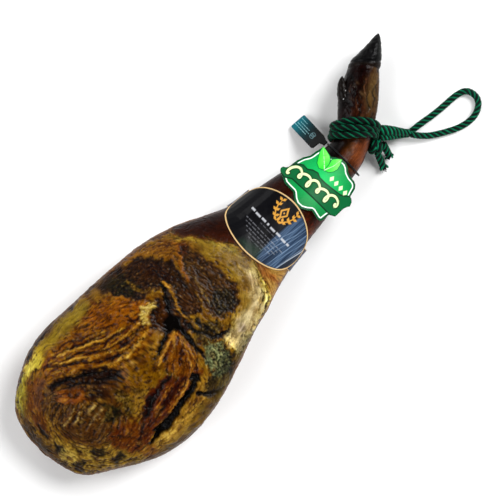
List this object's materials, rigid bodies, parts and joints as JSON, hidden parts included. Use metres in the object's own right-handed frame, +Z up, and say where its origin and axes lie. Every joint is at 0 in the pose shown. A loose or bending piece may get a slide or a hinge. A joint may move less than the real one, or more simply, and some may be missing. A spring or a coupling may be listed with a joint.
{
  "type": "cured ham",
  "caption": "Dry-cured bone-in ham with hoof, cut meat face up, with a twisted hanging rope, a paper wrap label, a card badge and a seal tag.",
  "frame": {"origin": "on the surface that the ham lies on, under the middle of the leg's box", "axes": "+X along the leg from the butt to the hoof, +Y to the side the hoof bends to, +Z up out of the cut meat face"},
  "size_m": [0.7054, 0.224, 0.1122],
  "materials": {
    "ham": "oily satin, mottled amber fat, dark dried meat and mahogany rind",
    "rope": "twisted cord, black and green yarns",
    "label_paper": "coated black print with gold rim",
    "badge_card": "glossy green print",
    "strap_plastic": "black, satin",
    "tag_plastic": "teal shading to black, satin"
  },
  "bodies": {
    "root": {"ham_leg": "ham", "rope_ankle_wrap": "rope", "rope_knot": "rope", "rope_neck": "rope", "rope_loop": "rope", "rope_tail_a": "rope", "rope_tail_b": "rope", "wrap_label": "label_paper", "card_badge": "badge_card", "seal_strap": "strap_plastic", "seal_tag": "tag_plastic"}
  },
  "joints": []
}
